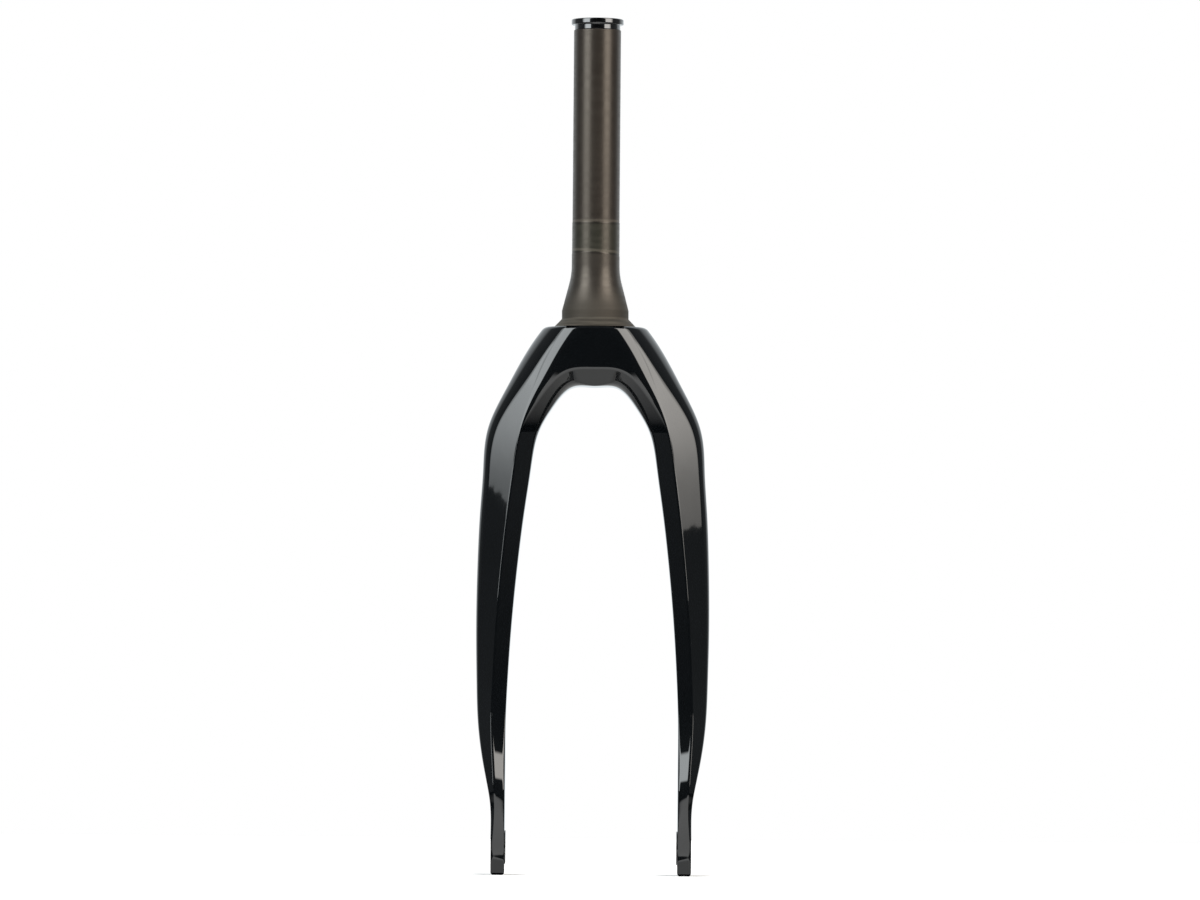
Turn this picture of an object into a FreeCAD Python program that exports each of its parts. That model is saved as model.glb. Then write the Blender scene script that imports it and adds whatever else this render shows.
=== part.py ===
"""Moulded carbon fork for a 20 inch race bike, with the compression plug in its steerer.

Frame: origin on the steerer axis at the foot of the crown race seat, +Z up the steerer, X across the
fork from left leg to right leg, and the dropouts set forward, towards -Y.
"""
import FreeCAD, Part
import math
import os
import Sketcher

Vector = FreeCAD.Vector

# Driving dimensions in millimetres, with slopes and tilts in degrees.
STEERER = {
    "steerer_dia": 28.6,
    "steerer_height": 173,
    "steerer_wall": 2.6,
    "steerer_edge": 0.5,
    "taper_height": 21.6,
    "taper_blend": 43,
    "seat_dia": 39.8,
    "seat_height": 5,
    "race_dia": 49.5,
    "race_height": 5,
    "root_dia": 36,
    "root_depth": 18,
    "bond_gap": 0.1,
    "bore_depth": 12,
    "bore_blend": 6,
}
FORK = {
    "axle_to_race": 315,
    "axle_offset": 32,
    "hub_width": 101,
    "hub_pad_dia": 21,
    "hub_pad_height": 0.6,
    "crown_lip": 0.4,
    "crown_edge": 1.8,
    "crown_ridge": 3.5,
    "ridge_flat": 1.2,
    "inner_edge": 1.5,
    "bevel_round": 0.6,
    "leg_bow": 2.3,
    "slot_width": 10.2,
    "tip_drop": 15.7,
    "tip_front": 8,
    "tip_rear": 10,
    "tip_slope": 22,
    "tip_edge": 1.6,
}
PLUG = {
    "flange_dia": 31.2,
    "flange_height": 3.4,
    "flange_edge": 0.7,
    "shoulder_dia": 27.2,
    "shoulder_height": 3,
    "spigot_length": 7,
    "plug_clearance": 0.1,
    "sleeve_length": 38,
    "sleeve_bore": 12,
    "mouth_dia": 18.6,
    "mouth_height": 12,
    "slit_width": 1.6,
    "slit_length": 30,
    "wedge_height": 9,
    "wedge_tail": 4,
    "wedge_clearance": 0.05,
    "bolt_dia": 6,
    "bolt_clearance": 0.2,
    "thread_clearance": 0.05,
    "bolt_end": 2,
    "bolt_edge": 0.6,
    "head_dia": 10,
    "head_height": 6,
    "head_recess": 0.4,
    "head_clearance": 0.3,
    "hex_width": 5,
    "hex_depth": 3,
}
SLITS = 4

# Cross-sections of the crown and leg, from the middle of the crown to past the dropout's tip.
# drop is how far the inner edge lies below the crown's top face, and rise how far above the axle. inner is
# that edge's distance from the middle, tilt the angle of the section, and width runs to the outer edge.
# ridge is how far the front ridge lies from the inner edge, and slope how wide the bevel is that runs from
# the front face to the outer edge; without a slope the front face is only as wide as ridge_flat. front and
# rear are depths from the steerer axis, ahead and behind depths from the axle. chamfer and bevel say how
# far the inner and the outer edge sit back from the front and rear faces, and round how far the outer edge
# is rounded off. waste is the height of the crown that is trimmed off its top, and reach how far the
# shoulder's outer edge lies outside the crown's depth.
SECTIONS = {
    "crown": {"drop": 35.5, "waste": 15, "ridge": 10.1, "slope": 4, "chamfer": 10, "bevel": 4},
    "shoulder": {"drop": 36, "inner": 13, "reach": 0.6, "ridge": 9.5, "slope": 14.5,
                 "chamfer": 9.5, "bevel": 8, "round": 18},
    "bend": {"drop": 49, "inner": 25.5, "tilt": 27, "width": 29.7, "ridge": 9.2, "slope": 17.5,
             "front": 24.5, "rear": 23, "chamfer": 8.5, "bevel": 8.5, "round": 16},
    "knee": {"drop": 64, "inner": 33.5, "tilt": 7.7, "width": 30, "ridge": 10.2,
             "front": 23.4, "rear": 21, "chamfer": 7.8, "bevel": 9.5, "round": 12},
    "leg_top": {"drop": 86, "inner": 37.7, "width": 28.4, "ridge": 10,
                "front": 23.8, "rear": 17.5, "chamfer": 7.1, "bevel": 9.5, "round": 8.5},
    "leg_low": {"rise": 75, "width": 16.6, "ridge": 7.6,
                "front": 32, "rear": -7.2, "chamfer": 2, "bevel": 6},
    "leg_end": {"rise": 50, "width": 13, "ridge": 7.6,
                "front": 37, "rear": -11.5, "chamfer": 0.8, "bevel": 3.6},
    "lug_top": {"rise": 27, "width": 8.8, "ahead": 11.4, "behind": 17, "chamfer": 0.5, "bevel": 1.6},
    "lug": {"rise": 5.5, "width": 8.2, "ahead": 12, "behind": 15, "chamfer": 0.5, "bevel": 1.2},
    "lug_foot": {"rise": -16, "ahead": 11},
    "lug_end": {"rise": -37.5, "ahead": 10},
}
LEG_STEPS = 6

# What a section takes from other sizes where its own row leaves it out.
CROWN_DEPTH = "Dims.race_dia / 2 + Dims.crown_lip + Dims.crown_edge"
SHOULDER_RUN = f"({CROWN_DEPTH} + Dims.shoulder_reach - Dims.shoulder_inner)"
PLATE_INNER = "Dims.hub_width / 2 + Dims.hub_pad_height"
PLATE_RIDGE = "Dims.{0}_width - Dims.ridge_flat - Dims.{0}_bevel"
PLATE = {"width": "Dims.lug_width", "chamfer": "Dims.lug_chamfer", "bevel": "Dims.lug_bevel",
         "ridge": PLATE_RIDGE.format("lug"), "rear": "Dims.lug_behind - Dims.axle_offset"}
SHARED = {
    "crown": {"inner": "0", "tilt": "90", "width": "Dims.crown_drop + Dims.crown_waste",
              "front": CROWN_DEPTH, "rear": CROWN_DEPTH, "edge": "Dims.crown_ridge"},
    "shoulder": {"tilt": f"atan(Dims.shoulder_drop / {SHOULDER_RUN}) / 1 deg",
                 "width": f"sqrt(Dims.shoulder_drop^2 + {SHOULDER_RUN}^2)",
                 "front": CROWN_DEPTH, "rear": CROWN_DEPTH, "edge": "Dims.crown_ridge"},
    "bend": {"edge": "Dims.crown_ridge"},
    "lug_top": {"ridge": PLATE_RIDGE.format("lug_top"), "rear": "Dims.lug_top_behind - Dims.axle_offset"},
    "lug": PLATE,
    "lug_foot": PLATE,
    "lug_end": PLATE,
}
CROWN_TOP = "-Dims.race_height"
AXLE_Y = "-Dims.axle_offset"
AXLE_Z = "-Dims.axle_to_race"

doc = FreeCAD.newDocument("BicycleFork")
sheet = doc.addObject("Spreadsheet::Sheet", "Dims")


def fill_sheet():
    """One row of the sheet for each driving dimension: its name, and its number under that alias."""
    cells = {**STEERER, **FORK, **PLUG}
    for section, row in SECTIONS.items():
        for column, number in row.items():
            cells[section + "_" + column] = number
    for line, (name, number) in enumerate(cells.items(), start=1):
        sheet.set(f"A{line}", name)
        sheet.set(f"B{line}", str(number))
        sheet.setAlias(f"B{line}", name)
    doc.recompute()


def new_body(name):
    body = doc.addObject("PartDesign::Body", name)
    body.Label = name
    return body


def new_sketch(body, role, name, offset=()):
    """Sketch on one of the body's origin planes, shifted by (x, y, z) expressions in that plane's axes."""
    sketch = body.newObject("Sketcher::SketchObject", name)
    plane = next(f for f in body.Origin.OriginFeatures if f.Role == role)
    sketch.AttachmentSupport = (plane, [""])
    sketch.MapMode = "FlatFace"
    for axis, expression in zip("xyz", offset):
        sketch.setExpression(f"AttachmentOffset.Base.{axis}", expression)
    return sketch


def bind(sketch, rules):
    """Add (constraint, expression) pairs to a sketch; an expression of None leaves a constraint as it is."""
    indices = sketch.addConstraint([rule for rule, _ in rules])
    for index, (_, expression) in zip(indices, rules):
        if expression is not None:
            sketch.setExpression(f"Constraints[{index}]", expression)


def place(sketch, geometry, point, x, y):
    """Rules that hold a point of a geometry at the expressions x and y."""
    start_x = float(sketch.evalExpression(x))
    start_y = float(sketch.evalExpression(y))
    return [(Sketcher.Constraint("DistanceX", -1, 1, geometry, point, start_x), x),
            (Sketcher.Constraint("DistanceY", -1, 1, geometry, point, start_y), y)]


def rounding(sketch, before, corner, after, radius):
    """Where a rounded corner's arc meets the sides to the spots before and after it, and the arc."""
    back = (before - corner).normalize()
    ahead = (after - corner).normalize()
    trim = radius * (1 + back.dot(ahead)) / back.cross(ahead).Length
    arrive = corner + back * trim
    leave = corner + ahead * trim
    bisector = (back + ahead).normalize()
    centre = corner + bisector * (trim / bisector.dot(back))
    turns_left = back.cross(ahead).z < 0
    first, last = (arrive, leave) if turns_left else (leave, arrive)
    angles = [math.atan2(end.y - centre.y, end.x - centre.x) for end in (first, last)]
    arc = sketch.addGeometry(Part.ArcOfCircle(Part.Circle(centre, Vector(0, 0, 1), radius), *angles))
    return arrive, leave, arc, turns_left


def outline(sketch, corners):
    """Closed outline through corners given as (x, y) or (x, y, radius) expressions; a radius rounds one."""
    spots = [Vector(*(float(sketch.evalExpression(e)) for e in corner[:2])) for corner in corners]
    count = len(corners)
    arrive = list(spots)
    leave = list(spots)
    arcs = {}
    for i, corner in enumerate(corners):
        if len(corner) == 3:
            radius = float(sketch.evalExpression(corner[2]))
            following = spots[(i + 1) % count]
            arrive[i], leave[i], *arcs[i] = rounding(sketch, spots[i - 1], spots[i], following, radius)
    lines = [sketch.addGeometry(Part.LineSegment(leave[i], arrive[(i + 1) % count])) for i in range(count)]
    rules = []
    for i, corner in enumerate(corners):
        if i not in arcs:
            rules.append((Sketcher.Constraint("Coincident", lines[i - 1], 2, lines[i], 1), None))
            rules += place(sketch, lines[i], 1, *corner)
            continue
        arc, turns_left = arcs[i]
        first, last = (1, 2) if turns_left else (2, 1)
        spot = sketch.addGeometry(Part.Point(spots[i]), True)
        rules += place(sketch, spot, 1, *corner[:2])
        rules += [
            (Sketcher.Constraint("PointOnObject", spot, 1, lines[i - 1]), None),
            (Sketcher.Constraint("PointOnObject", spot, 1, lines[i]), None),
            (Sketcher.Constraint("Tangent", lines[i - 1], 2, arc, first), None),
            (Sketcher.Constraint("Tangent", arc, last, lines[i], 1), None),
            (Sketcher.Constraint("Radius", arc, sketch.Geometry[arc].Radius), corner[2]),
        ]
    bind(sketch, rules)
    return sketch


def circle(sketch, x, y, diameter):
    size = float(sketch.evalExpression(diameter))
    ring = sketch.addGeometry(Part.Circle(Vector(), Vector(0, 0, 1), size / 2))
    bind(sketch, place(sketch, ring, 3, x, y) + [(Sketcher.Constraint("Diameter", ring, size), diameter)])
    return sketch


def open_slot(sketch, x, y, width, foot):
    """Outline of a slot with a round end at (x, y), open down to the height foot."""
    centre = Vector(float(sketch.evalExpression(x)), float(sketch.evalExpression(y)))
    radius = float(sketch.evalExpression(width)) / 2
    low = float(sketch.evalExpression(foot))
    right = Vector(centre.x + radius, centre.y)
    left = Vector(centre.x - radius, centre.y)
    corners = [Vector(left.x, low), Vector(right.x, low)]
    end = sketch.addGeometry(Part.ArcOfCircle(Part.Circle(centre, Vector(0, 0, 1), radius), 0, math.pi))
    sides = [sketch.addGeometry(Part.LineSegment(*ends))
             for ends in ((left, corners[0]), (corners[0], corners[1]), (corners[1], right))]
    bind(sketch, place(sketch, end, 3, x, y) + [
        (Sketcher.Constraint("Tangent", end, 2, sides[0], 1), None),
        (Sketcher.Constraint("Coincident", sides[0], 2, sides[1], 1), None),
        (Sketcher.Constraint("Coincident", sides[1], 2, sides[2], 1), None),
        (Sketcher.Constraint("Tangent", sides[2], 2, end, 1), None),
        (Sketcher.Constraint("Vertical", sides[0]), None),
        (Sketcher.Constraint("Vertical", sides[2]), None),
        (Sketcher.Constraint("Horizontal", sides[1]), None),
        (Sketcher.Constraint("Radius", end, radius), f"({width}) / 2"),
        (Sketcher.Constraint("DistanceY", -1, 1, sides[1], 1, low), foot),
    ])
    return sketch


def revolve(body, kind, name, corners):
    """Revolution or Groove of an outline of (radius, height) corners about the body's Z axis."""
    profile = outline(new_sketch(body, "XZ_Plane", name + "_profile"), corners)
    turned = body.newObject("PartDesign::" + kind, name)
    turned.Profile = profile
    turned.ReferenceAxis = (profile, ["V_Axis"])
    turned.Angle = 360
    return turned


def extrude(body, kind, name, profile, length=None, symmetric=False, backwards=False):
    """Pad or Pocket of a sketch, as long as the expression says, or through everything without one."""
    feature = body.newObject("PartDesign::" + kind, name)
    feature.Profile = profile
    feature.SideType = "Symmetric" if symmetric else "One side"
    feature.Reversed = backwards
    if length is None:
        feature.Type = "ThroughAll"
    else:
        feature.setExpression("Length", length)
    return feature


def section_sizes(name):
    """All the expressions of one named cross-section, its own cells first."""
    row = {"tilt": "0", "flat": "Dims.ridge_flat", "edge": "Dims.ridge_flat", "inner": PLATE_INNER}
    row.update(SHARED.get(name, {}))
    row.update({column: f"Dims.{name}_{column}" for column in SECTIONS[name]})
    row.setdefault("round", f"Dims.bevel_round * {row['bevel']}")
    if "drop" in row:
        row["height"] = f"{CROWN_TOP} - Dims.{name}_drop"
    else:
        row["height"] = f"{AXLE_Z} + Dims.{name}_rise"
    if "slope" in row:
        row["flat"] = f"{row['width']} - Dims.{name}_ridge - Dims.{name}_slope"
    if "ahead" in row:
        row["front"] = f"Dims.axle_offset + Dims.{name}_ahead"
    return row


def leg_sizes(step):
    """Expressions of a section on the plain stretch of the leg, an even step from its top to its low end."""
    top = section_sizes("leg_top")
    low = section_sizes("leg_low")
    row = {column: f"({top[column]}) + (({low[column]}) - ({top[column]})) * {step} / {LEG_STEPS}"
           for column in ("height", "inner", "tilt", "width", "ridge", "flat", "edge", "front", "rear",
                          "chamfer", "bevel", "round")}
    row["inner"] += f" + 4 * Dims.leg_bow * {step} * {LEG_STEPS - step} / {LEG_STEPS}^2"
    return row


def section_sketch(body, name, row, side):
    """Eight-cornered rounded section, its x running outwards from the inner edge, on one side of the fork."""
    sketch = new_sketch(body, "XY_Plane", name)
    outwards = f"-({row['tilt']})" if side > 0 else f"-180 + {row['tilt']}"
    sketch.AttachmentOffset = FreeCAD.Placement(Vector(), FreeCAD.Rotation(Vector(0, 1, 0), -90))
    sketch.setExpression("AttachmentOffset.Base.x", f"{side} * ({row['inner']})")
    sketch.setExpression("AttachmentOffset.Base.z", row["height"])
    sketch.setExpression("AttachmentOffset.Rotation.Angle", outwards)
    ridge = row["ridge"]
    shelf = f"{ridge} + {row['flat']}"
    width = row["width"]
    front, rear, chamfer, bevel = (f"({row[column]})" for column in ("front", "rear", "chamfer", "bevel"))
    inner_edge = "Dims.inner_edge"
    ridge_edge = row["edge"]
    outer_edge = row["round"]
    return outline(sketch, [
        ("0", f"{chamfer} - {front}", inner_edge),
        (ridge, f"-{front}", ridge_edge),
        (shelf, f"-{front}", ridge_edge),
        (width, f"{bevel} - {front}", outer_edge),
        (width, f"{rear} - {bevel}", outer_edge),
        (shelf, rear, ridge_edge),
        (ridge, rear, ridge_edge),
        ("0", f"{rear} - {chamfer}", inner_edge),
    ])


def crown_and_legs(body):
    """One loft from the left dropout over the crown to the right dropout."""
    rows = {name: section_sizes(name) for name in ("shoulder", "bend", "knee", "leg_top")}
    rows.update({f"leg_{step}": leg_sizes(step) for step in range(1, LEG_STEPS)})
    rows.update({name: section_sizes(name) for name in ("leg_low", "leg_end", "lug_top", "lug", "lug_foot",
                                                       "lug_end")})
    left = [section_sketch(body, "left_" + name, row, -1) for name, row in rows.items()]
    middle = section_sketch(body, "middle", section_sizes("crown"), 1)
    right = [section_sketch(body, "right_" + name, row, 1) for name, row in rows.items()]
    path = left[::-1] + [middle] + right
    loft = body.newObject("PartDesign::AdditiveLoft", "crown_and_legs")
    loft.Profile = path[0]
    loft.Sections = path[1:]
    return loft


def crown_top(body):
    """Level top of the crown, with its edge rounded."""
    reach = "Dims.race_dia"
    sketch = new_sketch(body, "XY_Plane", "crown_top_area", ("0", "0", CROWN_TOP))
    outline(sketch, [(f"-{reach}", f"-{reach}"), (reach, f"-{reach}"), (reach, reach), (f"-{reach}", reach)])
    cut = extrude(body, "Pocket", "crown_top", sketch, backwards=True)
    doc.recompute()
    height = float(sheet.evalExpression(CROWN_TOP))
    edges = [f"Edge{i}" for i, edge in enumerate(cut.Shape.Edges, start=1)
             if max(abs(edge.BoundBox.ZMin - height), abs(edge.BoundBox.ZMax - height)) < 1e-4]
    rounded = body.newObject("PartDesign::Fillet", "crown_edge")
    rounded.Base = (cut, edges)
    rounded.setExpression("Radius", "Dims.crown_edge")
    return cut


def crown_socket(body):
    """Socket in the crown that the steerer's root is bonded into."""
    floor = f"{CROWN_TOP} - Dims.root_depth - Dims.bond_gap"
    wall = "Dims.root_dia / 2 + Dims.bond_gap"
    past_top = f"{CROWN_TOP} + Dims.root_depth"
    return revolve(body, "Groove", "crown_socket", [
        ("0", floor), (wall, floor), (wall, past_top), ("0", past_top)])


def hub_pads(body):
    """Round seats for the hub on the inner faces of the dropouts."""
    for side, name in ((1, "right_hub_pad"), (-1, "left_hub_pad")):
        sketch = new_sketch(body, "YZ_Plane", name + "_ring", ("0", "0", f"{side} * Dims.hub_width / 2"))
        circle(sketch, AXLE_Y, AXLE_Z, "Dims.hub_pad_dia")
        extrude(body, "Pad", name, sketch, "Dims.hub_pad_height + Dims.lug_width / 2", backwards=side < 0)


def dropouts(body):
    """Trimmed tips of the dropouts, and the axle slots that open downwards."""
    low = f"{AXLE_Z} - Dims.tip_drop"
    high = f"{AXLE_Z} + Dims.tip_drop"
    below = f"{AXLE_Z} - 4 * Dims.tip_drop"
    run = "2 * Dims.tip_drop * tan(Dims.tip_slope)"
    front = f"{AXLE_Y} - Dims.tip_front"
    rear = f"{AXLE_Y} + Dims.tip_rear"
    tips = outline(new_sketch(body, "YZ_Plane", "tip_waste"), [
        (f"{front} - {run}", high), (f"{front} - {run}", below), (f"{rear} + {run}", below),
        (f"{rear} + {run}", high), (rear, low, "Dims.tip_edge"), (front, low, "Dims.tip_edge")])
    trim = extrude(body, "Pocket", "tips", tips, symmetric=True)
    waste = open_slot(new_sketch(body, "YZ_Plane", "axle_slot_area"), AXLE_Y, AXLE_Z, "Dims.slot_width", below)
    slots = extrude(body, "Pocket", "axle_slots", waste, symmetric=True)
    return trim, slots


def fork_body():
    body = new_body("fork_body")
    crown_and_legs(body)
    cut = crown_top(body)
    socket = crown_socket(body)
    hub_pads(body)
    trim, slots = dropouts(body)
    return body, [cut, socket, trim, slots]


def steerer():
    """Root, race, bearing seat, taper and tube laid up in one about the steerer axis, and the blind bore."""
    body = new_body("steerer")
    tube = "Dims.steerer_dia / 2"
    race = "Dims.race_dia / 2"
    seat = "Dims.seat_dia / 2"
    root = "Dims.root_dia / 2"
    foot = f"{CROWN_TOP} - Dims.root_depth"
    end = "Dims.steerer_height"
    revolve(body, "Revolution", "tube", [
        ("0", foot), (root, foot), (root, CROWN_TOP), (race, CROWN_TOP), (seat, "0"),
        (seat, "Dims.seat_height"), (tube, "Dims.seat_height + Dims.taper_height", "Dims.taper_blend"),
        (tube, f"{end} - Dims.steerer_edge"), (f"{tube} - Dims.steerer_edge", end), ("0", end)])
    bore = f"{tube} - Dims.steerer_wall"
    past_end = f"{end} + Dims.steerer_wall"
    inside = revolve(body, "Groove", "steerer_bore", [
        ("0", "-Dims.bore_depth"), (bore, "-Dims.bore_depth", "Dims.bore_blend"), (bore, past_end),
        ("0", past_end)])
    return body, [inside]


def plug_cap():
    """Flanged cap that rests on the steerer's end and takes the bolt's head."""
    body = new_body("plug_cap")
    end = "Dims.steerer_height"
    top = f"{end} + Dims.shoulder_height + Dims.flange_height"
    under = f"{end} + Dims.shoulder_height"
    low = f"{end} - Dims.spigot_length"
    hole = "Dims.bolt_dia / 2 + Dims.bolt_clearance"
    recess = "Dims.head_dia / 2 + Dims.head_clearance"
    floor = f"{top} - Dims.head_recess - Dims.head_height"
    spigot = "Dims.steerer_dia / 2 - Dims.steerer_wall - Dims.plug_clearance"
    revolve(body, "Revolution", "cap", [
        (hole, low), (spigot, low), (spigot, end), ("Dims.shoulder_dia / 2", end),
        ("Dims.shoulder_dia / 2", under), ("Dims.flange_dia / 2", under, "Dims.flange_edge"),
        ("Dims.flange_dia / 2", top, "Dims.flange_edge"), (recess, top), (recess, floor), (hole, floor)])
    return body, []


def plug_sleeve():
    """Expander sleeve below the cap, slit from its lower end, with a cone in its mouth."""
    body = new_body("plug_sleeve")
    high = "Dims.steerer_height - Dims.spigot_length"
    low = f"{high} - Dims.sleeve_length"
    outer = "Dims.steerer_dia / 2 - Dims.steerer_wall - Dims.plug_clearance"
    inner = "Dims.sleeve_bore / 2"
    revolve(body, "Revolution", "sleeve", [
        (inner, high), (inner, f"{low} + Dims.mouth_height"), ("Dims.mouth_dia / 2", low), (outer, low),
        (outer, high)])
    slit_top = f"{low} + Dims.slit_length"
    past = "Dims.steerer_dia / 2"
    sketch = outline(new_sketch(body, "XZ_Plane", "slit_area"), [
        ("0", f"{low} - Dims.slit_width"), (past, f"{low} - Dims.slit_width"), (past, slit_top),
        ("0", slit_top)])
    slit = extrude(body, "Pocket", "slit", sketch, "Dims.slit_width", symmetric=True)
    doc.recompute()
    slits = body.newObject("PartDesign::PolarPattern", "slits")
    slits.Originals = [slit]
    slits.Axis = (sketch, ["V_Axis"])
    slits.Angle = 360
    slits.Occurrences = SLITS
    body.Tip = slits
    return body, [slit, slits]


def plug_wedge():
    """Cone nut drawn up into the sleeve's mouth by the bolt."""
    body = new_body("plug_wedge")
    mouth = "Dims.steerer_height - Dims.spigot_length - Dims.sleeve_length"
    foot = f"{mouth} - Dims.wedge_tail"
    wide = "Dims.mouth_dia / 2 - Dims.wedge_clearance"
    narrowing = "(Dims.mouth_dia - Dims.sleeve_bore) / 2 * Dims.wedge_height / Dims.mouth_height"
    hole = "Dims.bolt_dia / 2 + Dims.thread_clearance"
    revolve(body, "Revolution", "wedge", [
        (hole, foot), (wide, foot), (wide, mouth),
        (f"{wide} - {narrowing}", f"{mouth} + Dims.wedge_height"), (hole, f"{mouth} + Dims.wedge_height")])
    return body, []


def plug_bolt():
    """Socket head bolt from the cap down through the cone nut."""
    body = new_body("plug_bolt")
    top = "Dims.steerer_height + Dims.shoulder_height + Dims.flange_height - Dims.head_recess"
    seat = f"{top} - Dims.head_height"
    foot = ("Dims.steerer_height - Dims.spigot_length - Dims.sleeve_length"
            " - Dims.wedge_tail - Dims.bolt_end")
    shank = "Dims.bolt_dia / 2"
    head = "Dims.head_dia / 2"
    revolve(body, "Revolution", "bolt", [
        ("0", foot), (f"{shank} - Dims.bolt_edge", foot), (shank, f"{foot} + Dims.bolt_edge"), (shank, seat),
        (head, seat), (head, top, "Dims.bolt_edge"), ("0", top)])
    sketch = new_sketch(body, "XY_Plane", "hex_area", ("0", "0", top))
    corner = "Dims.hex_width / (2 * cos(30))"
    outline(sketch, [(f"{corner} * cos({angle})", f"{corner} * sin({angle})") for angle in range(0, 360, 60)])
    socket = extrude(body, "Pocket", "hex_socket", sketch, "Dims.hex_depth")
    return body, [socket]


def check(bodies, cuts):
    """Stop if any object failed, a cut took nothing away, or a body isn't one sound solid."""
    failed = [item.Label for item in doc.Objects if {"Invalid", "Error"} & set(item.State)]
    if failed:
        raise RuntimeError(f"not rebuilt: {failed}")
    for cut in cuts:
        if cut.Shape.Volume >= cut.BaseFeature.Shape.Volume - 1e-6:
            raise RuntimeError(f"{cut.Label} cuts nothing")
    for body in bodies:
        if body.Shape.isNull() or not body.Shape.isValid() or len(body.Shape.Solids) != 1:
            raise RuntimeError(f"{body.Label} is not one sound solid")


fill_sheet()
built = [make() for make in (fork_body, steerer, plug_cap, plug_sleeve, plug_wedge, plug_bolt)]
doc.recompute()
bodies = [body for body, _ in built]
check(bodies, [cut for _, cuts in built for cut in cuts])
os.makedirs("parts", exist_ok=True)
for body in bodies:
    body.Shape.exportStep(f"parts/{body.Label}.step")
    box = body.Shape.BoundBox
    size = f"{box.XLength:.1f} x {box.YLength:.1f} x {box.ZLength:.1f} mm"
    print(f"{body.Label}: {body.Shape.Volume / 1000:.2f} cm3, {size}")
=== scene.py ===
# %% [markdown]
# A rigid race fork, moulded from carbon fibre: a bare satin steerer on top, and a gloss black crown and
# legs below it. We load the measured model first, because every piece here is dressed on it and nothing
# is moved.

# %% Load the measured fork
import math

import bmesh
import bpy
import numpy as np
from mathutils import Matrix, Vector


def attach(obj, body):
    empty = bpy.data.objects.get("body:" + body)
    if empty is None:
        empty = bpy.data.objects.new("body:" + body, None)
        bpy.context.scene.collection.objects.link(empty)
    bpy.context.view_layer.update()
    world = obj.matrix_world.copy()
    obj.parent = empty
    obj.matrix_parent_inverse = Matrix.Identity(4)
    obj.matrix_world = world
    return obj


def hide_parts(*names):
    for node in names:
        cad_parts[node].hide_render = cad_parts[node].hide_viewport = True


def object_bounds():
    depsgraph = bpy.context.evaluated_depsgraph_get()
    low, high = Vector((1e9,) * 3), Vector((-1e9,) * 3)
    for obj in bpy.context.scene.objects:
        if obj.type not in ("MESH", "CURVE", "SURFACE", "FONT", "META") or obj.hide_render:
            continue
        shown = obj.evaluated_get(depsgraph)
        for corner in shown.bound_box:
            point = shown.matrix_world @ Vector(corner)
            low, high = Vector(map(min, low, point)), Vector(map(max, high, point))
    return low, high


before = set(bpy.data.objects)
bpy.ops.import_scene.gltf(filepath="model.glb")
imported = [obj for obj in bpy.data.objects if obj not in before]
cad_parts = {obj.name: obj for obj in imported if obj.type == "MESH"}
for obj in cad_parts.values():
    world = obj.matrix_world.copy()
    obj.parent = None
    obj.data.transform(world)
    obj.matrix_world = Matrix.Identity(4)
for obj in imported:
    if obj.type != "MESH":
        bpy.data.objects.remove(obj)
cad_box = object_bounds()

MM = 0.001
scene = bpy.context.scene
scene.view_settings.view_transform = "Standard"
print("measured pieces:", sorted(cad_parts))

# %% [markdown]
# The camera is a long lens a few metres away, near the height of the legs, so that upright lines stay
# parallel and the arch is seen a little from below. How many pixels a millimetre of the steerer takes up
# sets the width of the frame, and the fork leans by half a degree in it.

# %% Camera
IMAGE_WIDTH = 1200
PIXELS_PER_MM = 1.675
SENSOR_WIDTH = 36
CAMERA_DISTANCE = 4.2
CAMERA_HEIGHT = -0.190
AIM = Vector((0.0035, 0, -0.0781))
ROLL = math.radians(0.47)

lens = bpy.data.cameras.new("studio_camera")
lens.sensor_width = SENSOR_WIDTH
lens.lens = SENSOR_WIDTH * CAMERA_DISTANCE / (IMAGE_WIDTH / PIXELS_PER_MM * MM)
camera = bpy.data.objects.new("studio_camera", lens)
camera.location = (AIM.x, -CAMERA_DISTANCE, CAMERA_HEIGHT)
facing = (AIM - camera.location).to_track_quat("-Z", "Y")
camera.rotation_mode = "QUATERNION"
camera.rotation_quaternion = facing @ Matrix.Rotation(ROLL, 3, "Z").to_quaternion()
scene.collection.objects.link(camera)
scene.camera = camera
print(f"camera: {lens.lens:.0f} mm lens at {CAMERA_DISTANCE} m")

# %% [markdown]
# Colours are written as the hex values that a colour picker shows, and one function turns them into the
# linear values that Blender computes with. A second one adds a node: what it gets for an input is linked
# if it is another node's output, and set if it is a value.


# %% Helpers for colours and nodes
def hex_colour(code):
    parts = [int(code[i:i + 2], 16) / 255 for i in (1, 3, 5)]
    linear = [c / 12.92 if c <= 0.04045 else ((c + 0.055) / 1.055) ** 2.4 for c in parts]
    return (*linear, 1)


def add_node(tree, kind, settings=None, numbered=None, **named):
    node = tree.nodes.new(kind)
    for name, value in (settings or {}).items():
        setattr(node, name, value)
    inputs = {name.replace("_", " "): value for name, value in named.items()}
    inputs.update(numbered or {})
    for name, value in inputs.items():
        if isinstance(value, bpy.types.NodeSocket):
            tree.links.new(value, node.inputs[name])
        else:
            node.inputs[name].default_value = value
    return node


def new_material(name):
    material = bpy.data.materials.new(name)
    material.use_nodes = True
    material.node_tree.nodes.clear()
    return material, material.node_tree


print("black of the lacquer in linear light:", [round(c, 4) for c in hex_colour("#0B0D0F")[:3]])

# %% [markdown]
# The crown and legs are one hollow moulding, laid up in a split mould. Its form is a run of
# cross-sections with eight corners, from the middle of the crown round the shoulder and down the leg.
# Height, inner and tilt place a section's inner edge. Width is how far it reaches from there, ridge and
# flat place the two lines on its front, front and rear are its depths, and chamfer and bevel cut its
# inner and outer corners back. Lip, edge, brow and round are the radii of the corners. All are in
# millimetres, and the tilt in degrees.

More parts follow.
